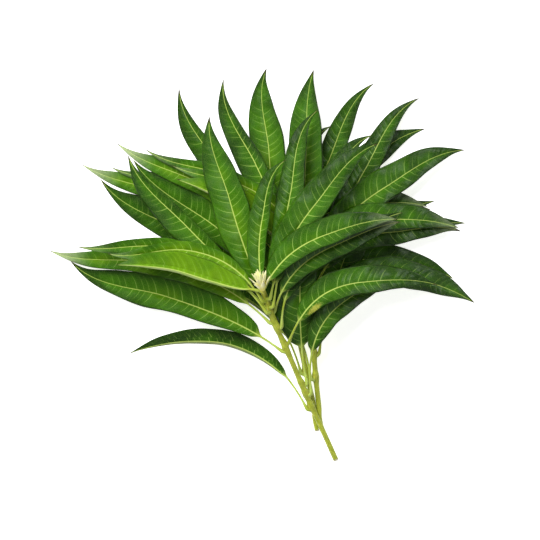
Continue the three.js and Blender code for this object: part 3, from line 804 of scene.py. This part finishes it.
def stemMaterial():
    finish = stemFinish
    material, n, skin = newMaterial("green bark")
    mottle = n.group(groups["mottle"], Broad_Scale=90.0, Fine_Scale=1400.0)
    streak = n.noise(4.0, 4.0, 0.6, stretchedPlace(n, 9, 1.2))
    colour = n.mix(n.between(streak, 0.35, 0.65), finish["green"], finish["yellow"])
    colour = n.mix(n.math("MULTIPLY", mottle["Broad"], 0.35), colour, finish["olive"])
    spots = n.add("ShaderNodeTexVoronoi")
    n.put(n.objectPlace(), spots.inputs["Vector"])
    spots.inputs["Scale"].default_value = 330.0
    speck = n.math("MULTIPLY", n.between(spots.outputs["Distance"], 0.10, 0.22, 1.0, 0.0), mottle["Fine"])
    colour = n.mix(n.math("MULTIPLY", speck, 0.5), colour, finish["scar"])
    mark = n.math("ADD", n.number("jointMark"), n.math("MULTIPLY", mottle["Fine"], 0.25))
    mark = n.between(mark, 0.55, 1.1)
    colour = n.mix(n.math("MULTIPLY", mark, 0.35), colour, finish["scar"])
    young = n.between(n.number("alongStem"), 0.84, 0.98, 0.0, 0.7)
    colour = n.mix(young, colour, n.mix(mottle["Broad"], finish["young"], finish["yellow"]))
    cut = n.number("cutFace")
    colour = n.mix(n.between(cut, 0.3, 0.7), colour, n.mix(mottle["Fine"], finish["cut"], finish["pith"]))
    n.put(colour, skin.inputs["Base Color"])
    rough = n.math("ADD", finish["roughness"], n.math("MULTIPLY", mottle["Fine"], 0.16))
    n.put(n.math("ADD", rough, n.math("MULTIPLY", cut, 0.25), clamp=True), skin.inputs["Roughness"])
    height = n.math("ADD", n.math("MULTIPLY", streak, 0.6), n.math("MULTIPLY", speck, 0.5))
    addBump(n, skin, n.math("ADD", height, n.math("MULTIPLY", mottle["Fine"], 0.2)), 0.5, 0.3)
    return material


budFinish = {
    "cream": (0.95, 0.91, 0.55, 1), "base": (0.78, 0.72, 0.10, 1), "green": (0.68, 0.75, 0.22, 1),
    "tip": (0.74, 0.62, 0.30, 1), "roughness": 0.5,
}


def budMaterial():
    finish = budFinish
    material, n, skin = newMaterial("bud bracts")
    mottle = n.group(groups["mottle"], Broad_Scale=220.0, Fine_Scale=1800.0)
    along = n.number("alongBract")
    dry = n.group(groups["dry"], Along=along, Dry_Share=0.07, Ragged=mottle["Fine"])["Dry"]
    colour = n.mix(n.between(along, 0.15, 0.7), finish["base"], finish["cream"])
    colour = n.mix(n.math("MULTIPLY", n.number("bractTint"), 0.35), colour, finish["green"])
    colour = n.mix(n.math("MULTIPLY", mottle["Fine"], 0.10), colour, finish["tip"])
    colour = n.mix(n.math("MULTIPLY", dry, 0.5), colour, finish["tip"])
    n.put(colour, skin.inputs["Base Color"])
    rough = n.math("ADD", finish["roughness"], n.math("MULTIPLY", mottle["Fine"], 0.15))
    n.put(rough, skin.inputs["Roughness"])
    addBump(n, skin, n.noise(3.0, 3.0, 0.5, stretchedPlace(n, 22, 1.5)), 0.35, 0.2)
    return material


groups = {"veins": veinGroup(), "mottle": mottleGroup(), "dry": dryGroup()}
materials = {
    "dark_leaf": leafMaterial("dark leaf", 0.27, 0.75),
    "light_leaf": leafMaterial("mid green leaf", 0.32, 0.8),
    "bright_leaf": leafMaterial("yellow green leaf", 0.42, 0.5),
    "stem": stemMaterial(),
    "bud": budMaterial(),
}
print("materials made:", ", ".join(materials))


mainAxis = readStem("front_stem")[0]
for number, shoot in enumerate(shoots):
    axis, radius = readStem(shoot + "_stem")
    knots = runLength(axis)
    evenAxis = smoothCurve(knots, axis, np.linspace(0, knots[-1], stemShape["axisPoints"]))
    feet = []
    for kind in leafKinds:
        node = f"{shoot}_{kind}"
        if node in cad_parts:
            leaf, look = readLeaf(node), leafKinds[kind]
            piece = makeLeaf(node, leaf, look, evenAxis, 100 * number + len(feet))
            settlePiece(piece, node, materials[look["slot"]])
            feet.append(leaf["line"][0])
    if shoot != "front":  # a side stem runs on into the main one below the fork
        fork = mainAxis[np.abs(mainAxis[:, 1] - (axis[0, 1] - stemShape["forkRun"])).argmin()]
        short = stemShape["forkShort"]
        axis = np.concatenate([(fork * (1 - short) + axis[0] * short)[None], axis])
        radius = np.concatenate([[radius[0] * stemShape["forkRadius"]], radius])
    radius[-2:] = stemShape["tipRadius"]
    stem = makeStem("stem_" + shoot, axis, radius, feet, 7 + number, shoot == "front")
    settlePiece(stem, shoot + "_stem", materials["stem"])
    onward = unit(((axis[-1] - axis[-8]) * [1, 1, 0])[None])[0]
    bud = makeBud("bud_" + shoot, shoot + "_bud", onward, 31 + number)
    settlePiece(bud, shoot + "_bud", materials["bud"])
    print("made the", shoot, "shoot with", len(feet), "leaves")

snagAxis, snagRadius = readStem("snag")
snag = makeStem("snag_stump", snagAxis, snagRadius, [], 17, True)
settlePiece(snag, "snag", materials["stem"])
print("made the snag")


stage = {
    "frameWidth": 0.54,  # metres seen across the picture at the floor
    "lookFrom": 5.0,  # height of the camera
    "aimOffset": (0.0079, -0.0056),  # from the middle of the branch to the middle of the picture
    "floorSize": 12.0,
    "floorTones": ((0.93, 0.93, 0.93, 1), (0.95, 0.95, 0.95, 1)),
    "keyPlace": (-0.85, 1.1, 1.8), "keySize": 1.5, "keyPower": 78.0,
    "fillPlace": (1.3, -1.3, 2.0), "fillSize": 2.0, "fillPower": 8.0,
    "sheenPlace": (1.15, 0.75, 1.7), "sheenSize": 0.7, "sheenPower": 10.0,  # seen only in the leaves' gloss
    "worldStrength": 0.20,
    "floorGlow": 0.72,  # a lit table, so that shadows on it stay pale
}


def addLight(name, place, size, power, aim, diffuse=True, glossy=True):
    light = bpy.data.lights.new(name, "AREA")
    light.size, light.energy = size, power
    lamp = bpy.data.objects.new(name, light)
    lamp.location = place
    lamp.rotation_euler = (aim - Vector(place)).to_track_quat("-Z", "Y").to_euler()
    lamp.visible_diffuse, lamp.visible_glossy = diffuse, glossy
    bpy.context.scene.collection.objects.link(lamp)


def makeStage():
    scene = bpy.context.scene
    low, high = cadBox
    middle = (low + high) / 2
    aim = Vector((middle.x + stage["aimOffset"][0], middle.y + stage["aimOffset"][1], 0))
    half = stage["floorSize"] / 2
    mesh = bpy.data.meshes.new("floor")
    corners = [(-half, -half, 0), (half, -half, 0), (half, half, 0), (-half, half, 0)]
    mesh.from_pydata(corners, [], [(0, 1, 2, 3)])
    floor = bpy.data.objects.new("floor", mesh)
    scene.collection.objects.link(floor)
    material, n, skin = newMaterial("pale floor")
    grain = n.noise(3.0, 3.0, 0.5, n.objectPlace())
    n.put(n.mix(grain, *stage["floorTones"]), skin.inputs["Base Color"])
    skin.inputs["Roughness"].default_value = 0.7
    skin.inputs["Emission Color"].default_value = (1, 1, 1, 1)
    skin.inputs["Emission Strength"].default_value = stage["floorGlow"]
    mesh.materials.append(material)
    world = bpy.data.worlds.new("studio")
    world.use_nodes = True
    world.node_tree.nodes["Background"].inputs["Color"].default_value = (1, 1, 1, 1)
    world.node_tree.nodes["Background"].inputs["Strength"].default_value = stage["worldStrength"]
    scene.world = world
    addLight("key", stage["keyPlace"], stage["keySize"], stage["keyPower"], aim, glossy=False)
    addLight("sheen", stage["sheenPlace"], stage["sheenSize"], stage["sheenPower"], aim, diffuse=False)
    addLight("fill", stage["fillPlace"], stage["fillSize"], stage["fillPower"], aim)
    camera = bpy.data.cameras.new("camera")
    camera.sensor_width = 36
    camera.lens = camera.sensor_width * stage["lookFrom"] / stage["frameWidth"]
    camera.clip_end = 50
    eye = bpy.data.objects.new("camera", camera)
    eye.location = aim + Vector((0, 0, stage["lookFrom"]))
    scene.collection.objects.link(eye)
    scene.camera = eye
    scene.view_settings.view_transform = "Standard"


makeStage()
print("stage made")
